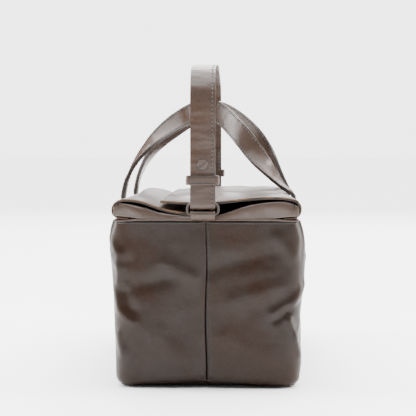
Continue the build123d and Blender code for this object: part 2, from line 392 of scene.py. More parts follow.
def cut_sheet(name, columns, rows, place):
    """A flat sheet of leather, worked into shape: place(u, v) says where each of its points goes, in millimetres."""
    bpy.ops.object.select_all(action="DESELECT")
    across, along = len(columns) - 1, len(rows) - 1
    bpy.ops.mesh.primitive_grid_add(
        x_subdivisions=across, y_subdivisions=along, size=1, calc_uvs=True, location=(0, 0, 0))
    sheet = bpy.context.object
    sheet.name = sheet.data.name = name
    flat = [(round((v.co.x + 0.5) * across), round((v.co.y + 0.5) * along)) for v in sheet.data.vertices]
    for vertex, (i, j) in zip(sheet.data.vertices, flat):
        vertex.co = Vector(place(columns[i], rows[j])) * MM
    uv = sheet.data.uv_layers.active.data
    for loop in sheet.data.loops:
        i, j = flat[loop.vertex_index]
        uv[loop.index].uv = (columns[i] * MM, rows[j] * MM)
    return sheet


def finish_sheet(sheet, body, thickness, faces=("panel", "dyed", "under"), offset=-1.0, bevel=0.35,
                 replaces=(), closed=False):
    """Gives the sheet its thickness, softens its edges, and hangs it on its body."""
    for finish in faces:
        sheet.data.materials.append(material(finish))
    if closed:
        select_only(sheet)
        bpy.ops.object.mode_set(mode="EDIT")
        bpy.ops.mesh.select_all(action="SELECT")
        bpy.ops.mesh.remove_doubles(threshold=0.05 * MM)
        bpy.ops.object.mode_set(mode="OBJECT")
    modify(sheet, "SOLIDIFY", thickness=thickness * MM, offset=offset, use_even_offset=False,
           material_offset=2, material_offset_rim=1)
    if bevel:
        modify(sheet, "BEVEL", width=bevel * MM, segments=2, limit_method="ANGLE",
               angle_limit=math.radians(50))
    select_only(sheet)
    bpy.ops.object.shade_smooth()
    if replaces:
        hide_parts(*replaces)
    if body:
        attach(sheet, body)
    return sheet


def normal_of(place, u, v, step=0.5):
    """Outward normal and the two tangents of a worked sheet."""
    along = (Vector(place(u + step, v)) - Vector(place(u - step, v))).normalized()
    up = (Vector(place(u, v + step)) - Vector(place(u, v - step))).normalized()
    return along.cross(up).normalized(), along, up


def stitches(name, body, place, lines, lift=0.25, pitch=None, length=None, thread=None, finish="thread",
             side=1):
    """Rows of stitches along lines drawn on a worked sheet, joined into one piece."""
    sizes = bpy.context.scene.satchel_sizes
    pitch = pitch or sizes.stitch_pitch / MM
    length = length or sizes.stitch_length / MM
    thread = thread or sizes.thread / MM
    bpy.ops.object.select_all(action="DESELECT")
    bpy.ops.mesh.primitive_uv_sphere_add(segments=6, ring_count=5, radius=0.5, location=(0, 0, 0))
    pattern = bpy.context.object
    corners = [v.co.copy() for v in pattern.data.vertices]
    faces = [tuple(p.vertices) for p in pattern.data.polygons]
    bpy.data.objects.remove(pattern)
    points, skins, hole_shade_flags = [], [], []
    # each stitch is its thread and, at its two ends, a flat dark disc sunk a little into the leather: painted shade
    # of the needle holes
    shapes = ((0.0, 1.0, 1.0, 1.0, 0), (-0.56, 0.62, 1.9, 0.55, 1), (0.56, 0.62, 1.9, 0.55, 1))
    for line in lines:
        for (u0, v0), (u1, v1) in zip(line, line[1:]):
            span = math.hypot(u1 - u0, v1 - v0)
            count = max(1, round(span / pitch))
            for k in range(count):
                share = (k + 0.5) / count
                u, v = u0 + (u1 - u0) * share, v0 + (v1 - v0) * share
                out, along, up = normal_of(place, u, v)
                out = out * side
                run = (along * (u1 - u0) + up * (v1 - v0)).normalized()
                cross = out.cross(run).normalized()
                centre = Vector(place(u, v)) + out * lift
                for shift, long, wide, high, tone in shapes:
                    start = len(points)
                    middle = centre + run * (shift * length) - out * (0.1 * tone)
                    for c in corners:
                        sag = -0.35 * thread * (2 * c.z) ** 2 * (1 - tone)
                        points.append((middle + run * (c.z * length * long) + cross * (c.x * thread * wide)
                                       + out * (c.y * thread * high + sag)) * MM)
                    skins += [tuple(start + i for i in f) for f in faces]
                    hole_shade_flags += [tone] * len(faces)
    mesh = bpy.data.meshes.new(name)
    mesh.from_pydata(points, [], skins)
    mesh.materials.append(material(finish))
    mesh.materials.append(material("hole_shade"))
    mesh.polygons.foreach_set("material_index", hole_shade_flags)
    seam = bpy.data.objects.new(name, mesh)
    bpy.context.scene.collection.objects.link(seam)
    select_only(seam)
    bpy.ops.object.mode_set(mode="EDIT")
    bpy.ops.mesh.select_all(action="SELECT")
    bpy.ops.mesh.normals_make_consistent(inside=False)
    bpy.ops.object.mode_set(mode="OBJECT")
    bpy.ops.object.shade_smooth()
    if body:
        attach(seam, body)
    return seam


class Route:
    """A strap's middle line through 3-D points, with the direction across it at each."""

    def __init__(self, points, across):
        self.points = [Vector(p) for p in points]
        self.across = [Vector(a).normalized() for a in across]
        self.marks = [0.0]
        for a, b in zip(self.points, self.points[1:]):
            self.marks.append(self.marks[-1] + (b - a).length)
        self.length = self.marks[-1]

    def _span(self, s):
        s = min(max(s, 0.0), self.length)
        low, high = 0, len(self.marks) - 1
        while high - low > 1:
            middle = (low + high) // 2
            low, high = (middle, high) if self.marks[middle] <= s else (low, middle)
        return low, (s - self.marks[low]) / max(self.marks[high] - self.marks[low], 1e-9)

    def at(self, s):
        """Point, direction across and outward normal at a distance along the strap."""
        i, t = self._span(s)
        point = self.points[i].lerp(self.points[i + 1], t)
        before = self.points[i] - self.points[max(i - 1, 0)]
        here = self.points[i + 1] - self.points[i]
        after = self.points[min(i + 2, len(self.points) - 1)] - self.points[i + 1]
        start = (before.normalized() + here.normalized()) if before.length else here
        stop = (here.normalized() + after.normalized()) if after.length else here
        along = start.normalized().lerp(stop.normalized(), t).normalized()
        across = self.across[i].lerp(self.across[i + 1], t)
        across = (across - along * across.dot(along)).normalized()
        return point, across, across.cross(along).normalized()


# ---------------------------------------------------------------- the body's shape
HALF = 95.0
CORNER = 17.0
FLAT = HALF - CORNER
TURN = CORNER * math.pi / 2
LENGTHWAYS = 2 * (END - CORNER)
AROUND = 2 * FLAT + 2 * TURN + LENGTHWAYS
EDGE = 9.0
CURL = EDGE * math.pi / 2
WALL = SEAM - EDGE + CURL

FRONT_SIDE = ((0, 91.5), (10, 93), (34, 93.5), (61, 94), (90, 95), (119, 97), (145, 99), (160, 98.5), (171,
                                                                                                       95.5))
REAR_SIDE = ((0, 94), (10, 95.5), (27, 97), (54, 95.5), (75, 96), (108, 99.5), (145, 100.5), (160, 98.5),
             (171, 95.5))
BOW = ((-95, 0.4), (-86, 1.2), (-58, 3.2), (-30, 4.6), (-8, 6.2), (12, 4.6), (50, 2.6), (80, 1.4), (95, 0.4))

# Each fold: its line as (distance round from the end's middle seam, height), how high it stands, how wide.
FRONT_FOLDS = (
    (((98, 152), (85, 136), (84, 122), (88, 108)), 2.6, 4.5),
    (((78, 128), (80, 112)), -2.0, 6),
    (((99, 141), (87, 122)), 1.8, 4),
    (((95, 100), (89, 81), (75, 68)), 2.6, 5),
    (((82, 96), (76, 80)), -2.0, 6),
    (((93, 54), (86, 35)), 2.2, 5),
    (((79, 102), (41, 111)), -1.8, 9),
    (((41, 126), (14, 114)), 1.4, 7),
    (((60, 60), (30, 30)), 1.2, 12),
)
REAR_FOLDS = (
    (((100, 104), (84, 87), (68, 76)), 3.2, 5),
    (((80, 80), (70, 72)), -2.8, 5),
    (((82, 71), (96, 34)), 2.5, 4),
    (((98, 68), (89, 52)), 1.8, 4),
    (((68, 152), (83, 135)), 1.6, 7),
    (((29, 90), (70, 103)), 1.5, 9),
    (((6, 122), (63, 137)), -1.5, 10),
    (((20, 50), (62, 30)), 1.2, 13),
)
# The same for the long sides, as (distance from the bag's middle, height).
SIDE_FOLDS = (
    (((-125, 152), (-62, 118), (-8, 127)), 3.4, 13),
    (((-95, 108), (-40, 92)), -2.6, 14),
    (((22, 62), (92, 38)), 3.2, 15),
    (((55, 143), (128, 108)), 3.0, 11),
    (((-132, 62), (-84, 30)), 2.6, 11),
    (((-40, 60), (30, 90)), -2.8, 18),
    (((100, 88), (136, 60)), 2.2, 9),
)


def off_line(points, x, y):
    """Distance from a point to a folded line."""
    best = 1e9
    for (x0, y0), (x1, y1) in zip(points, points[1:]):
        dx, dy = x1 - x0, y1 - y0
        t = ((x - x0) * dx + (y - y0) * dy) / (dx * dx + dy * dy)
        t = min(max(t, 0.0), 1.0)
        best = min(best, math.hypot(x - x0 - t * dx, y - y0 - t * dy))
    return best


def folded(folds, x, y):
    total = 0.0
    for line, height, width in folds:
        distance = off_line(line, x, y)
        if distance < 2.6 * width:
            total += height * bell(distance, width)
    return total


def drawn_in(x, y):
    """The long sides' top edges are pulled inward between the ends."""
    return math.copysign(4.3, x) * smooth((abs(x) - 55) / 35) * (1 - smooth((abs(y) - 88) / 62))


def outline(s):
    """The bag's plan: a point and its outward direction, s from the near end's middle, + towards the rear."""
    side = 1.0 if s >= 0 else -1.0
    s = abs(s)
    if s <= FLAT:
        return side * s, -END, 0.0, -1.0
    s -= FLAT
    if s <= TURN:
        a = s / CORNER
        return (side * (FLAT + CORNER * math.sin(a)), -END + CORNER - CORNER * math.cos(a),
                side * math.sin(a), -math.cos(a))
    s -= TURN
    if s <= LENGTHWAYS:
        return side * HALF, -END + CORNER + s, side, 0.0
    s -= LENGTHWAYS
    if s <= TURN:
        a = s / CORNER
        return (side * (FLAT + CORNER * math.cos(a)), END - CORNER + CORNER * math.sin(a),
                side * math.cos(a), math.sin(a))
    s -= TURN
    return side * (FLAT - s), END, 0.0, 1.0


def swell(s, z):
    """How far the leather stands out from the plain form: folds, slump and the drawn-in seams."""
    side_folds, far_folds = (REAR_FOLDS, FRONT_FOLDS) if s >= 0 else (FRONT_FOLDS, REAR_FOLDS)
    way = 1.0 if s >= 0 else -1.0
    near = abs(s)
    far = AROUND - near
    along = near - AROUND / 2
    out = folded(side_folds, near, z) * (1 - 0.55 * smooth((near - 86) / 14)) if near < 130 else 0.0
    if far < 130:
        out += 0.85 * folded(far_folds, far, z) * (1 - 0.55 * smooth((far - 86) / 14))
    if near > 95 and far > 95:
        out += folded(SIDE_FOLDS, along * way, z) * (1 - 0.6 * smooth((abs(along) - 105) / 35))
    out += 0.8 * ripple(s, z, 46, 1) + 0.32 * ripple(s, z, 19, 2) + 0.12 * ripple(s, z, 8, 3)
    middle = min(near, far)
    out += 1.6 * bell(middle - 42, 34) * bell(z - 70, 60)
    out *= smooth((SEAM - z) / 16) * smooth(z / 16)
    seam_width = 2.2 + 3.0 * (1 - z / SEAM)
    drop = 0.25 + 0.75 * (1 - z / SEAM)
    pucker = 0.25 * math.sin(z * 1.55) * bell(middle - 2.5, 2.2) * smooth((z - 95) / 40)
    out -= (1.5 * bell(middle, seam_width) + 2.4 * max(0.0,
                                                       1 - middle / (0.9 + 0.6 * drop)) ** 2) * drop + pucker
    out -= 1.8 * smooth((z - SEAM + 2.0) / 2.0)
    return out


def body_wall(inset=0.0):
    """The panels' surface: u runs round the bag, v up from the bottom seam."""
    def place(u, v):
        x, y, nx, ny = outline(u)
        if v < CURL:
            turn = v / EDGE
            drawn, z = EDGE * (1 - math.sin(turn)), EDGE * (1 - math.cos(turn))
        else:
            drawn, z = 0.0, EDGE + v - CURL
        side = glide(REAR_SIDE if x > 0 else FRONT_SIDE, z) / HALF
        out = swell(u, z) - drawn - inset
        end_share = smooth((abs(y) - END + 60) / 60)
        wave = 0.7 * math.sin(z / 19.0 + 1.0) * bell(x, 12) * smooth((SEAM - z) / 30)
        lift = glide(BOW, x) * (1 - smooth(z / 75)) * end_share
        hollow = 0.8 * (1 - end_share) * (1 - smooth(z / 40))
        pinch = drawn_in(x, y) * smooth((z - 118) / 50)
        return (x * side - pinch + nx * out + wave * end_share, y + ny * out, max(z + lift + hollow,
                                                                                  0.0) + 0.1)
    return place


def spaced(*runs):
    """Joins runs of (start, stop, step) into one list of places."""
    places = [runs[0][0]]
    for start, stop, step in runs:
        count = max(1, round(abs(stop - start) / step))
        places += [start + (stop - start) * (k + 1) / count for k in range(count)]
    return places


class SATCHEL_OT_body_panels(bpy.types.Operator):
    """Front and rear body panels, each from middle seam to middle seam, slumped and folded"""
    bl_idname = "satchel.body_panels"
    bl_label = "Body Panels"

    def execute(self, context):
        sizes = context.scene.satchel_sizes
        half_way = spaced(
            (0, 3, 0.5), (3, 9, 1.2), (9, 118, 1.9), (118, AROUND - 118, 4.5), (AROUND - 118, AROUND - 9,
                                                                                2.4),
            (AROUND - 9, AROUND - 3, 1.2), (AROUND - 3, AROUND, 0.5))
        rows = spaced((0, CURL, 1.8), (CURL, WALL - 4, 2.1), (WALL - 4, WALL, 0.5))
        wall = body_wall()
        for name, columns in (("front", [-u for u in reversed(half_way)]), ("rear", half_way)):
            panel = cut_sheet(f"{name}_panel_leather", columns, rows, wall)
            finish_sheet(panel, "bag", sizes.leather / MM, bevel=0,
                         replaces=(f"{name}_panel",))
        seams = [[(u, WALL - 5), (u, CURL + 8)] for u in (1.9, AROUND - 1.9)]
        stitches("middle_seam_stitches", "bag", wall, seams, lift=0.15, thread=1.1, finish="dark_thread")
        return {"FINISHED"}


class SATCHEL_OT_base(bpy.types.Operator):
    """Base leather under the board, its ends bowed up a little"""
    bl_idname = "satchel.base"
    bl_label = "Base"

    def execute(self, context):
        inset = 4.5
        wide, long = HALF - inset, END - inset
        round_by = CORNER - inset

        def place(u, v):
            over = max(abs(v) - (long - round_by), 0.0)
            half = wide - round_by + math.sqrt(max(round_by ** 2 - over ** 2, 0.0))
            x = u / wide * half
            side = (glide(REAR_SIDE, 5) if x > 0 else glide(FRONT_SIDE, 5)) / HALF
            rim = max(abs(u) / wide, abs(v) / long)
            z = 0.35 + glide(BOW, x) * smooth((abs(v) - long + 10) / 10) + 0.9 * smooth((rim - 0.94) / 0.06)
            return x * side, -v, z + 0.15 * (1 + ripple(x, v, 30, 4))

        columns = spread(-wide, wide, 4.5, 1.0)
        rows = spread(-long, long, 5.5, 1.0)
        base = cut_sheet("base_leather", columns, rows, place)
        finish_sheet(base, "bag", 1.4, replaces=("base_panel",))
        return {"FINISHED"}


class SATCHEL_OT_lining(bpy.types.Operator):
    """Cloth lining, walls and floor in one"""
    bl_idname = "satchel.lining"
    bl_label = "Lining"

    def execute(self, context):
        wall = body_wall(2.6)
        floor = 60.0
        low = CURL - 4.0

        def place(u, v):
            if v >= low:
                return wall(u, v)
            x, y, z = wall(u, low)
            share = 1 - (low - v) / floor
            return x * share, y * (0.2 + 0.8 * share) if share > 0 else 0.0, 4.6 + (z - 4.6) * smooth((share - 0.85) / 0.15)

        columns = spaced((-AROUND, -AROUND + 110, 4), (-AROUND + 110, -110, 7), (-110, 110, 4),
                         (110, AROUND - 110, 7), (AROUND - 110, AROUND, 4))
        rows = spaced((low - floor + 0.5, low - 8, 8), (low - 8, low, 1.5), (low, WALL - 1.5, 4))
        cloth = cut_sheet("lining_cloth", columns, rows, place)
        finish_sheet(cloth, "bag", 0.7, ("lining", "lining", "lining"), bevel=0,
                     replaces=("lining",), closed=True)
        return {"FINISHED"}


def end_name(way):
    return "near" if way < 0 else "far"


class SATCHEL_OT_end_seams(bpy.types.Operator):
    """The ends' folded top edges with the stitching under them"""
    bl_idname = "satchel.end_seams"
    bl_label = "End Seams"

    def execute(self, context):
        wall = body_wall()
        for way in (-1, 1):
            def place(u, v, way=way):
                x = -way * u
                rise = -1.2 * smooth((abs(u) - 62) / 30)
                turn = min(max(abs(u) - FLAT, 0.0) / CORNER, 1.2)
                back = CORNER * (1 - math.cos(turn)) * 0.55
                bulge = 1.25 * math.sin(math.pi * min(max(v / 5.4, 0.0), 1.0)) ** 0.6
                lean = 1.5 * max(0.0, (v - 3.6) / 1.8) ** 2
                y = END - 0.7 + bulge - back - lean
                z = SEAM - 1.2 + v * 0.46 + rise + 0.25 * ripple(u, 0, 24, 5 + way)
                return x, way * y, z
            columns = spread(-93, 93, 2.4, 0.8)
            rows = [0, 0.4, 1.0, 1.8, 2.7, 3.6, 4.4, 5.0, 5.4]
            edge = cut_sheet(f"{end_name(way)}_end_seam_edge", columns, rows, place)
            finish_sheet(edge, "bag", 0.9, ("strap", "dyed", "dyed"), bevel=0)
            start = 3.0 if way < 0 else AROUND - 3.0
            stop = 90.0 if way < 0 else AROUND - 90.0
            lines = [[(start, WALL - 3.4), (stop, WALL - 3.4)], [(-start, WALL - 3.4), (-stop, WALL - 3.4)]]
            stitches(f"{end_name(way)}_end_seam_stitches", "bag", wall, lines, lift=0.25, pitch=3.6,
                     length=2.4,
                     thread=1.3, finish="dark_thread")
        return {"FINISHED"}


FACING_TOP = (
    (-93.2, 184.4), (-87, 187.8), (-80, 187.2), (-70, 185.4), (-60, 183.0), (-50, 179.4), (-44, 178.2), (-34,
            176.4),
    (-20, 174.9), (0, 174.8), (14, 176.4), (32, 182.2), (46, 186.4), (60, 188.6), (70, 189.6), (82, 189.2),
    (93.2, 185.4),
)


class SATCHEL_OT_end_facings(bpy.types.Operator):
    """Plump leather facings that close the ends under the flaps"""
    bl_idname = "satchel.end_facings"
    bl_label = "End Facings"

    def execute(self, context):
        for way in (-1, 1):
            def place(u, v, way=way):
                x = -way * u
                top = glide(FACING_TOP, x)
                low = SEAM + 0.9 + 2.6 * smooth((abs(x) - 62) / 28)
                tall = top - low
                turn = math.pi * v
                belly = 4.0 + 0.5 * ripple(x, 0, 22, 6)
                upright = max(math.sin(turn), 0.0) ** 0.62
                across = math.copysign(abs(math.cos(turn)) ** 0.62, math.cos(turn))
                pinch = 0.7 * (bell(x + 48, 3.2) + 0.6 * bell(x + 22, 4))
                crease = 1.0 * ripple(x * 0.6 + v * 9, v * 20, 11, 7) + 0.45 * ripple(x + v * 6, v * 12, 5.5,
                                                                                      8)
                y = END - 5.0 + (belly + crease - pinch) * across
                z = low + (tall + 0.3 * crease) * upright
                return x, way * y, z
            columns = spread(-93.2, 93.2, 1.9, 0.7)
            rows = [0.5 - 0.5 * math.cos(math.pi * (k / 26)) for k in range(27)]
            facing = cut_sheet(f"{end_name(way)}_end_facing_leather", columns, rows, place)
            # the facings take the high-gain flap leather: painted light
            finish_sheet(facing, "bag", 1.2, ("flap", "dyed", "under"), bevel=0,
                         replaces=(f"{end_name(way)}_end_facing",))
            # v is a share of the half turn here, so each of the few end stitches is its own short line
            rows_of = []
            for side in (-1, 1):
                for k in range(4):
                    v = 0.12 + 0.085 * k
                    rows_of.append([(side * 88.3, v), (side * 88.3, v + 0.05)])
            stitches(f"{end_name(way)}_end_facing_stitches", "bag", place, rows_of, lift=0.2, pitch=3.0,
                     length=1.7,
                     finish="dark_thread")
        return {"FINISHED"}


# ---------------------------------------------------------------- flaps
# Outer faces across the bag, from the band up over the fold to the free edge: in the middle and at the ends.
FLAPS = {
    "front": (
        ((-91.0, 171.0), (-93.4, 172.0), (-94.8, 174.8), (-95.0, 178.5), (-94.9, 183.0), (-92.3, 188.8),
         (-84.2, 191.6),
         (-75, 190.2), (-66, 188.8), (-56, 187.2), (-46, 185.7), (-36, 184.2), (-26, 182.7), (-16.6, 181.3)),
        ((-78.0, 171.6), (-88.0, 171.9), (-93.6, 174.6), (-95.4, 179.0), (-94.9, 184.0), (-91.4, 189.0),
         (-84.5, 191.7),
         (-76, 191.7), (-66, 190.2), (-56, 186.9), (-46, 183.4), (-36, 180.8), (-26, 179.2), (-16.6, 178.2)),
    ),
    "rear": (
        ((91.0, 171.0), (93.4, 172.0), (94.8, 174.8), (95.0, 179.0), (94.9, 184.5), (91.7, 191.6), (83.6,
                                                                                                    194.9),
         (73.6, 195.0), (60, 195.8), (44, 196.4), (29, 196.6), (14, 196.4), (0, 195.8), (-15, 194.8), (-30,
                                                                                                       193.4),
         (-44.6, 191.6)),
        ((78.0, 171.6), (88.0, 171.9), (93.6, 174.6), (95.8, 179.4), (95.5, 185.0), (92.0, 190.2), (84,
                                                                                                    192.9),
         (74, 194.0), (60, 194.1), (44, 193.1), (29, 191.5), (14, 189.8), (0, 189.0), (-15, 188.8), (-30,
                                                                                                     189.6),
         (-44.6, 190.7)),
    ),
}
HEM = 1.7
FLAP_LEATHER = 1.55
FLAP_UNDER = 1.15
FLAP_HALF = 158.0


class FlapShape:
    """One flap's surface: u in millimetres across the bag, v along it."""

    def __init__(self, name):
        self.name = name
        self.way = 1.0 if name == "front" else -1.0
        self.inner, self.outer = FLAPS[name]
        self.marks = [0.0]
        for a, b in zip(self.inner, self.inner[1:]):
            self.marks.append(self.marks[-1] + math.dist(a, b))
        self.length = self.marks[-1]
        self.lines = {}

    def line(self, y):
        key = round(y, 3)
        if key not in self.lines:
            e = smooth((abs(y) - 92) / 66)
            self.lines[key] = [
                tuple(p + (q - p) * e for p, q in zip(a, b)) for a, b in zip(self.inner, self.outer)]
        return self.lines[key]

    def place(self, level=0.0):
        """The surface at a depth below the outer face."""
        def place(u, v):
            y = self.way * v
            inside = min(max(u, 0.0), self.length)
            i = 0
            while i < len(self.marks) - 2 and self.marks[i + 1] < inside:
                i += 1
            t = i + (inside - self.marks[i]) / (self.marks[i + 1] - self.marks[i])
            line = self.line(y)
            x, z = through(line, t)
            x0, z0 = through(line, t - 0.02)
            x1, z1 = through(line, t + 0.02)
            run = math.hypot(x1 - x0, z1 - z0)
            dx, dz = (x1 - x0) / run, (z1 - z0) / run
            nx, nz = -dz * self.way, dx * self.way
            soft = smooth((u - 22) / 20) * (1 - smooth((u - self.length + 6) / 6))
            wave = 1.2 * ripple(u, y, 34, 9) + 0.6 * ripple(u * 0.5, y, 13, 10)
            fold = 0.30 * ripple(u * 2.2, y * 0.5, 9, 11) * bell(u - 26, 14)
            rise = (wave * soft * (1 - 0.8 * smooth((abs(y) - 120) / 30)) + fold) - level
            if u > self.length:
                # the hem: the leather turns under the free edge
                turn = (u - self.length) / HEM
                arc_x = HEM * math.sin(min(turn, math.pi))
                arc_z = -HEM * (1 - math.cos(min(turn, math.pi)))
                back = max(0.0, u - self.length - math.pi * HEM)
                x += dx * (arc_x - back)
                z += dz * (arc_x - back)
                rise += arc_z
            return x + nx * rise - drawn_in(x, y), y, z + nz * rise
        return place


class SATCHEL_OT_flaps(bpy.types.Operator):
    """Two top flaps, the rear one lapping the front one, each a hemmed leather over a facing"""
    bl_idname = "satchel.flaps"
    bl_label = "Flaps"

    def execute(self, context):
        rows = spread(-FLAP_HALF, FLAP_HALF, 4.2, 0.7)
        for name in ("front", "rear"):
            shape = FlapShape(name)
            tuck = shape.length + math.pi * HEM + 5
            columns = spaced((0, 22, 1.3), (22, 40, 1.3), (40, shape.length - 4, 2.6), (shape.length - 4,
                                                                                        shape.length, 0.8),
                             (shape.length, tuck - 5, 0.55), (tuck - 5, tuck, 1.7))
            leather_piece = cut_sheet(f"{name}_flap_leather", columns, rows, shape.place())
            # The rear flap's outer face takes the high-gain flap leather, painted light; the front flap's takes a
            # lower-gain copy, painted shade.
            finish_sheet(leather_piece, None, FLAP_LEATHER,
                         ("shaded_flap" if name == "front" else "flap", "raw", "under"), bevel=0.38,
                         replaces=(f"{name}_flap", f"{name}_top_band"))
            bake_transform(leather_piece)
            start = 15.0
            columns = spaced((start, 34, 1.5), (34, shape.length - HEM, 3.0))
            under = cut_sheet(f"{name}_flap_under", columns, rows, shape.place(FLAP_LEATHER + 0.08))
            finish_sheet(under, f"{name}_flap", FLAP_UNDER, ("under", "dyed", "under"),
                         bevel=0.2,
                         replaces=(f"{name}_flap_facing",))
            line = [(shape.length - 3.0, -FLAP_HALF + 4), (shape.length - 3.0, FLAP_HALF - 4)]
            stitches(f"{name}_flap_stitches", f"{name}_flap", shape.place(), [line], lift=0.1)
        return {"FINISHED"}


# ---------------------------------------------------------------- straps
def strap_sheet(name, route, width, lift, row_step, crown=0.25, wear=0.12, seed=20):
    """A strap's outer face along a route, and the sheet cut to it."""
    def place(u, v):
        point, across, out = route.at(v)
        raised = lift + crown * (1 - (2 * u / width) ** 2) + wear * ripple(u * 0.5, v, 3.2, seed)
        raised += 1.8 * wear * ripple(u * 0.3, v, 9, seed + 1) + 2.0 * wear * ripple(u * 0.25 + v * 0.1, v,
                                                                                     4.6, seed + 2)
        return tuple(point + across * u + out * raised)
    columns = spread(-width / 2, width / 2, 2.0, 0.5)
    rows = spread(0.0, route.length, row_step, 0.8)
    return place, cut_sheet(name, columns, rows, place)


def bezier(a, b, c, d, steps):
    places = []
    for k in range(steps + 1):
        t = k / steps
        places.append(a * (1 - t) ** 3 + b * 3 * t * (1 - t) ** 2 + c * 3 * t * t * (1 - t) + d * t ** 3)
    return places


HANDLE_WIDE = 22.0
HANDLE_THICK = 3.6
HANDLE_FOOT = 68.0


def handle_route(side):
    """A handle's middle line: upright and edge-on at its feet, face up where the hand goes."""
    apex = Vector((-10.99, 0, SEAM + 117)) if side < 0 else Vector((6.8, 0, SEAM + 115.5))
    lean = Vector((side * (1.0 if side < 0 else 0.45), 0, 1)).normalized()
    flip = Vector((1, -1, 1))
    if side < 0:
        foot = Vector((-93.2, -HANDLE_FOOT, SEAM + 15.5))
        leg = bezier(foot, foot + Vector((2.5, -4, 62)), apex + Vector((0, -40, 0)), apex, 44)
        points = leg + [p * flip for p in reversed(leg[:-1])]
    else:
        near = [(93.2, -68, 186.5), (90.6, -68.2, 194.0), (83.2, -68.5, 199.6), (75.0, -68, 207.5), (65.5,
                -67, 218.5),
                (56.0, -64, 230.5), (45.5, -58, 244.0), (33.0, -46, 260.0), (17.5, -23, 277.5), tuple(apex)]
        far = [(93.2, 68, 186.5), (92.0, 68, 194.0), (87.0, 68, 203.0), (80.5, 67.5, 214.0), (72.5, 66,
                                                                                              227.0),
               (63.0, 62, 241.0), (49.5, 52, 259.0), (33.0, 36, 274.0), (17.5, 17, 283.5), tuple(apex)]
        whole = near + far[-2::-1]
        points = [Vector(through(whole, 18 * k / 88)) for k in range(89)]
    across = []
    for k in range(45):
        turn = smooth(k / 44)
        across.append(Vector((0, 1, 0)) * (1 - turn) + lean * turn)
    across += [a * flip for a in reversed(across[:-1])]
    return Route(points, across)


class SATCHEL_OT_handles(bpy.types.Operator):
    """Two stitched leather handles that lean together over the flaps"""
    bl_idname = "satchel.handles"
    bl_label = "Handles"

    def execute(self, context):
        for name, side in (("front", -1), ("rear", 1)):
            route = handle_route(side)
            place, strap = strap_sheet(
                f"{name}_handle_strap", route, HANDLE_WIDE, HANDLE_THICK / 2, 3.2, 0.3, 0.10, 30 + side)
            finish_sheet(strap, f"{name}_handle", HANDLE_THICK, ("strap", "dyed", "strap"),
                         bevel=0.8, replaces=(f"{name}_handle",))
            inset = HANDLE_WIDE / 2 - 2.3
            lines = [[(s * inset, 3), (s * inset, route.length - 3)] for s in (-1, 1)]
            stitches(f"{name}_handle_stitches_out", f"{name}_handle", place, lines, lift=0.05)
            stitches(f"{name}_handle_stitches_in", f"{name}_handle", place, lines, lift=HANDLE_THICK + 0.3,
                     side=-1)
        return {"FINISHED"}


class SATCHEL_OT_handle_tabs(bpy.types.Operator):
    """Handle ends sewn flat on the body's long sides"""
    bl_idname = "satchel.handle_tabs"
    bl_label = "Handle Tabs"

    def execute(self, context):
        wall = body_wall()
        low, high = 112.0, 179.0
        for name, side in (("front", -1), ("rear", 1)):
            parts, seams = [], []
            for foot in (-HANDLE_FOOT, HANDLE_FOOT):
                middle = side * (AROUND / 2 + foot)

                def place(u, v, middle=middle):
                    tip = 7.0 * (1 - math.sqrt(max(0.0, 1 - (2 * u / HANDLE_WIDE) ** 2))) * bell(v - low, 9)
                    z = v + tip
                    height = z - EDGE + CURL
                    x, y, _ = wall(middle + u, min(height, WALL - 12))
                    band = smooth((z - SEAM + 14) / 16)
                    edge = side * 95.6 - drawn_in(side * 95.6, y)
                    x = x + (edge - x) * band
                    puff = 0.25 * (1 - (2 * u / HANDLE_WIDE) ** 2)
                    return x + side * (2.3 + puff), y, z
                columns = spread(-HANDLE_WIDE / 2, HANDLE_WIDE / 2, 2.0, 0.5)
                rows = spread(low, high, 2.6, 0.6)
                parts.append(cut_sheet(f"{name}_handle_tab", columns, rows, place))
                inset = HANDLE_WIDE / 2 - 2.3
                top = high - 7
                seams.append((place, [(-inset, top), (-inset, low + 5), (-4, low + 2.2), (4, low + 2.2),
                                      (inset, low + 5), (inset, top)]))
                seams.append((place, [(-inset, SEAM - 26), (inset, SEAM - 6)]))
                seams.append((place, [(-inset, SEAM - 6), (inset, SEAM - 26)]))
            select_only(parts[0])
            parts[1].select_set(True)
            bpy.ops.object.join()
            tabs = parts[0]
            tabs.name = tabs.data.name = f"{name}_handle_tabs"
            finish_sheet(tabs, "bag", 2.2, ("strap", "dyed", "under"), bevel=0.5,
                         replaces=(f"{name}_handle_ends",))
            for k, (place, line) in enumerate(seams):
                stitches(f"{name}_handle_tab_stitches_{k}", "bag", place, [line], lift=0.1)
        return {"FINISHED"}


STRAP_WIDE = 25.0
STRAP_THICK = 3.0
FOLD_RADIUS = WIRE / 2 + 0.4 + 1.6


def rounded(corners, radii):
    """A line through corners, each but the first and last turned with its radius."""
    points = [Vector(corners[0])]
    for before, here, after, radius in zip(corners, corners[1:], corners[2:], radii):
        a, b, c = Vector(before), Vector(here), Vector(after)
        back, on = (a - b).normalized(), (c - b).normalized()
        half = back.angle(on) / 2
        reach = radius / math.tan(half)
        middle = b + (back + on).normalized() * (radius / math.sin(half))
        first, last = b + back * reach - middle, b + on * reach - middle
        steps = 16
        turned = [first.lerp(last, k / steps).normalized() * radius for k in range(steps + 1)]
        points += [middle + t for t in turned]
    points.append(Vector(corners[-1]))
    return points


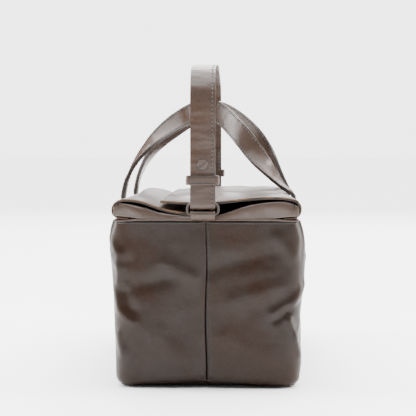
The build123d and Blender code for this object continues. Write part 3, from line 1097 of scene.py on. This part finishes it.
def strap_points():
    """From the near tail's top, round the near ring, over the bag, round the far ring, to the far tail's top."""
    line = RING_Y + FOLD_RADIUS
    tail = line - STRAP_THICK - 0.1
    top, join = SEAM + 71, SEAM + 31
    fold = [(RING_Y + FOLD_RADIUS * math.cos(a), UPPER_BAR + FOLD_RADIUS * math.sin(a))
            for a in (math.radians(-175 + 175 * k / 14) for k in range(15))]
    end = [(tail, top), (tail, join + 4), (tail - 0.1, join - 2.5), (tail - 0.9, join - 6.5),
           (RING_Y - FOLD_RADIUS + 0.7, UPPER_BAR + 5)] + fold
    legs = [(line, SEAM + 40), (line, SEAM + 90)]
    near = [(SHIFT, -y, z) for y, z in end + legs]
    arch = rounded(
        [(SHIFT, -line, SEAM + 100), (SHIFT, -line, SEAM + 150), (SHIFT, 0, SEAM + 167), (SHIFT, line,
                                                                                          SEAM + 150),
         (SHIFT, line, SEAM + 100)], (40, 600, 40))
    far = [(SHIFT, y, z) for y, z in reversed(end + legs)]
    return near + [tuple(p) for p in arch] + far


class SATCHEL_OT_shoulder_strap(bpy.types.Operator):
    """One long strap, folded back through the ring at each end"""
    bl_idname = "satchel.shoulder_strap"
    bl_label = "Shoulder Strap"

    def execute(self, context):
        points = strap_points()
        route = Route(points, [(1, 0, 0)] * len(points))
        place, strap = strap_sheet(
            "shoulder_strap_leather", route, STRAP_WIDE, STRAP_THICK / 2, 1.5, 0.15, 0.13, 40)
        finish_sheet(strap, "shoulder_strap", STRAP_THICK, ("strap", "dyed", "strap"),
                     bevel=0.6,
                     replaces=("shoulder_strap",))
        inset = STRAP_WIDE / 2 - 3.0
        stitches("shoulder_strap_stitches", "shoulder_strap", place,
                 [[(inset, 3), (inset, route.length - 3)]], lift=0.05)
        return {"FINISHED"}


class SATCHEL_OT_anchor_loops(bpy.types.Operator):
    """Short loops that hold the rings to the bag's ends"""
    bl_idname = "satchel.anchor_loops"
    bl_label = "Anchor Loops"

    def execute(self, context):
        lower = RING_LOW.z + WIRE / 2
        loop = [(159.4, 170.3), (163.2, 170.4), (167.2, 171.2), (169.8, 173.6), (170.9, 177.0)]
        loop += [(RING_Y + 4.9 * math.cos(a), lower + 3.9 * math.sin(a))
                 for a in (math.radians(15 + 135 * k / 8) for k in range(9))]
        loop += [(160.4, 177.0), (159.0, 174.4)]
        smoothed = [through(loop, k / 3) for k in range(3 * (len(loop) - 1) + 1)]
        for way in (-1, 1):
            points = [(SHIFT, way * y, z) for y, z in smoothed]
            route = Route(points, [(-way, 0, 0)] * len(points))
            place, tab = strap_sheet(f"{end_name(way)}_anchor_loop", route, 24.5, 0.0, 0.9, 0.1, 0.06,
                                     50 + way)
            finish_sheet(tab, None, 1.7, ("strap", "dyed", "under"), bevel=0.35,
                         replaces=(f"{end_name(way)}_anchor_tab",))
            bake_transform(tab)
        return {"FINISHED"}


class SATCHEL_OT_keepers(bpy.types.Operator):
    """Sliding loops that hold the strap's tails down"""
    bl_idname = "satchel.keepers"
    bl_label = "Keepers"

    def execute(self, context):
        for way in (-1, 1):
            name = end_name(way)
            low, high = (Vector(c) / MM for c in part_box(f"{name}_keeper"))
            middle = (low + high) / 2
            wide, deep, tall = high.x - low.x, high.y - low.y, high.z - low.z
            turn = 3.2
            path = rounded_ring(wide, deep, turn)
            marks = [0.0]
            for a, b in zip(path, path[1:]):
                marks.append(marks[-1] + math.dist(a, b))

            def place(u, v, path=path, marks=marks, middle=middle, way=way):
                u = u % marks[-1]
                i = 0
                while marks[i + 1] < u:
                    i += 1
                t = (u - marks[i]) / (marks[i + 1] - marks[i])
                x = path[i][0] + (path[i + 1][0] - path[i][0]) * t
                y = path[i][1] + (path[i + 1][1] - path[i][1]) * t
                puff = 1 + 0.030 * (1 - (2 * v / 9.5) ** 2) + 0.008 * ripple(x + 50, v, 5, 60 + way)
                return middle.x + x * puff, middle.y + y * puff, middle.z + v
            columns = marks[:-1] + [marks[-1] - 1e-7]
            rows = spread(-tall / 2, tall / 2, 1.2, 0.5)
            band = cut_sheet(f"{name}_keeper_band", columns, rows, place)
            finish_sheet(band, f"{name}_keeper", 1.4, ("strap", "dyed", "under"), bevel=0.4,
                         replaces=(f"{name}_keeper",), closed=True)
            face = wide - 2 * turn
            lines = [[(1.0, h), (face - 1.0, h)] for h in (-tall / 2 + 1.8, tall / 2 - 1.8)]
            if way > 0:
                start = marks[-1] / 2
                lines = [[(start + a, h), (start + b, h)] for (a, h), (b, _) in lines]
            stitches(f"{name}_keeper_stitches", f"{name}_keeper", place, lines, lift=0.1, pitch=2.9,
                     length=1.8,
                     thread=0.8, finish="dark_thread")
        return {"FINISHED"}


def rounded_ring(wide, deep, radius):
    """Plan of a band with round corners, counter-clockwise from the start of its -Y face."""
    a, b = wide / 2 - radius, deep / 2 - radius
    ring = [(-a + 2 * a * k / 10, -deep / 2) for k in range(11)]
    for cx, cy, start in ((a, -b, -90), (a, b, 0), (-a, b, 90), (-a, -b, 180)):
        for k in range(1, 8):
            t = math.radians(start + 90 * k / 7)
            ring.append((cx + radius * math.cos(t), cy + radius * math.sin(t)))
        if start == 0:
            ring += [(a - 2 * a * k / 10, deep / 2) for k in range(1, 10)]
    return ring


class SATCHEL_OT_hardware(bpy.types.Operator):
    """Finishes for the rings, studs, snaps and the board"""
    bl_idname = "satchel.hardware"
    bl_label = "Hardware"

    def execute(self, context):
        finishes = {
            "near_ring": "wire", "far_ring": "wire",
            "near_stud_screw": "stud", "far_stud_screw": "stud",
            "near_stud_barrel": "brass", "far_stud_barrel": "brass",
            "front_flap_snap": "steel", "rear_flap_snap": "steel",
            "base_board": "board",
        }
        for node, finish in finishes.items():
            for slot in bpy.data.objects[node].material_slots:
                slot.material = material(finish)
        # a dark disc a little larger than each stud's head, set behind it and a little low: painted shadow of the
        # head and of the gap where the strap's hole is larger than the neck
        for name, way in (("near", -1), ("far", 1)):
            low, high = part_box(f"{name}_stud_screw")
            middle = (low + high) / 2
            face = (low if way < 0 else high).y - way * 0.95 * MM
            bpy.ops.object.select_all(action="DESELECT")
            bpy.ops.mesh.primitive_cylinder_add(
                vertices=40, radius=(high.x - low.x) / 2 + 0.15 * MM, depth=1.2 * MM,
                location=(middle.x, face, middle.z - 0.75 * MM), rotation=(math.pi / 2, 0, 0))
            gap = bpy.context.object
            gap.name = gap.data.name = f"{name}_stud_shadow_disc"
            bpy.ops.object.transform_apply(location=True, rotation=True, scale=True)
            modify(gap, "BEVEL", width=0.3 * MM, segments=2)
            gap.data.materials.append(material("hole_shade"))
            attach(gap, "shoulder_strap")
        return {"FINISHED"}


# ---------------------------------------------------------------- stage
def area_light(name, place, target, size, power, colour=(1, 1, 1)):
    bpy.ops.object.light_add(type="AREA", location=place)
    lamp = bpy.context.object
    lamp.name = lamp.data.name = name
    lamp.data.shape = "RECTANGLE"
    lamp.data.size, lamp.data.size_y = size
    lamp.data.energy = power
    lamp.data.color = colour
    lamp.rotation_euler = (Vector(target) - Vector(place)).to_track_quat("-Z", "Y").to_euler()
    return lamp


class SATCHEL_OT_stage(bpy.types.Operator):
    """Pale floor, soft lights and the camera"""
    bl_idname = "satchel.stage"
    bl_label = "Stage"

    def execute(self, context):
        bpy.ops.object.select_all(action="DESELECT")
        bpy.ops.mesh.primitive_plane_add(size=60, location=(0, 0, -0.0002))
        floor = bpy.context.object
        floor.name = "floor"
        s = Shader("pale_floor")
        mottle = s.cloud(s.place(), 2.0, 2.0)
        floor.data.materials.append(s.finish(
            Base_Color=s.mix(mottle, (0.93, 0.93, 0.93), (0.97, 0.97, 0.97)), Roughness=0.9))
        world = context.scene.world or bpy.data.worlds.new("studio")
        context.scene.world = world
        world.use_nodes = True
        background = world.node_tree.nodes["Background"]
        background.inputs["Color"].default_value = (1, 1, 1, 1)
        seen = world.node_tree.nodes.new("ShaderNodeLightPath")
        strength = world.node_tree.nodes.new("ShaderNodeMapRange")
        strength.inputs["To Min"].default_value = 0.22
        strength.inputs["To Max"].default_value = 4.1
        world.node_tree.links.new(seen.outputs["Is Camera Ray"], strength.inputs["Value"])
        world.node_tree.links.new(strength.outputs["Result"], background.inputs["Strength"])
        bpy.ops.object.light_add(type="SUN", location=(0, 0.6, 2), rotation=(math.radians(-14),
                                                                             math.radians(4), 0))
        sky = bpy.context.object
        sky.name = sky.data.name = "top_light"
        sky.data.energy = 13.0
        sky.data.angle = math.radians(80)
        area_light("left_light", (-1.2, 0.0, 0.6), (0, 0, 0.12), (0.3, 1.2), 45)
        area_light("right_light", (1.3, 0.0, 0.6), (0, 0, 0.12), (0.3, 1.2), 45)
        area_light("back_light", (0.1, 2.2, 1.5), (0, 0, 0.19), (2.4, 1.0), 90)
        camera = bpy.data.objects.new("camera", bpy.data.cameras.new("camera"))
        context.scene.collection.objects.link(camera)
        camera.location = (0.034, -1.210, 0.241)
        camera.rotation_euler = (math.radians(90 - 3.16), 0, math.radians(1.745))
        camera.data.angle = math.radians(22.4)
        context.scene.camera = camera
        return {"FINISHED"}


OPERATORS = (
    SATCHEL_OT_body_panels, SATCHEL_OT_base, SATCHEL_OT_lining, SATCHEL_OT_end_seams, SATCHEL_OT_end_facings,
    SATCHEL_OT_flaps, SATCHEL_OT_handles, SATCHEL_OT_handle_tabs, SATCHEL_OT_shoulder_strap,
    SATCHEL_OT_anchor_loops, SATCHEL_OT_keepers, SATCHEL_OT_hardware, SATCHEL_OT_stage,
)


class SATCHEL_PT_panel(bpy.types.Panel):
    """The satchel's pieces, one button each"""
    bl_idname = "SATCHEL_PT_panel"
    bl_label = "Leather Satchel"
    bl_space_type = "VIEW_3D"
    bl_region_type = "UI"
    bl_category = "Satchel"

    def draw(self, context):
        column = self.layout.column()
        for group in (context.scene.satchel_sizes, context.scene.satchel_colours):
            for name in group.__annotations__:
                column.prop(group, name)
        for operator in OPERATORS:
            column.operator(operator.bl_idname)


CLASSES = (SatchelSizes, SatchelColours) + OPERATORS + (SATCHEL_PT_panel,)


def register():
    for kind in CLASSES:
        bpy.utils.register_class(kind)
    bpy.types.Scene.satchel_sizes = bpy.props.PointerProperty(type=SatchelSizes)
    bpy.types.Scene.satchel_colours = bpy.props.PointerProperty(type=SatchelColours)


def unregister():
    del bpy.types.Scene.satchel_colours
    del bpy.types.Scene.satchel_sizes
    for kind in reversed(CLASSES):
        bpy.utils.unregister_class(kind)


def main():
    register()
    bpy.ops.satchel.body_panels()
    bpy.ops.satchel.base()
    bpy.ops.satchel.lining()
    bpy.ops.satchel.end_seams()
    bpy.ops.satchel.end_facings()
    bpy.ops.satchel.flaps()
    bpy.ops.satchel.handles()
    bpy.ops.satchel.handle_tabs()
    bpy.ops.satchel.shoulder_strap()
    bpy.ops.satchel.anchor_loops()
    bpy.ops.satchel.keepers()
    bpy.ops.satchel.hardware()
    bpy.ops.satchel.stage()


if __name__ == "__main__":
    main()
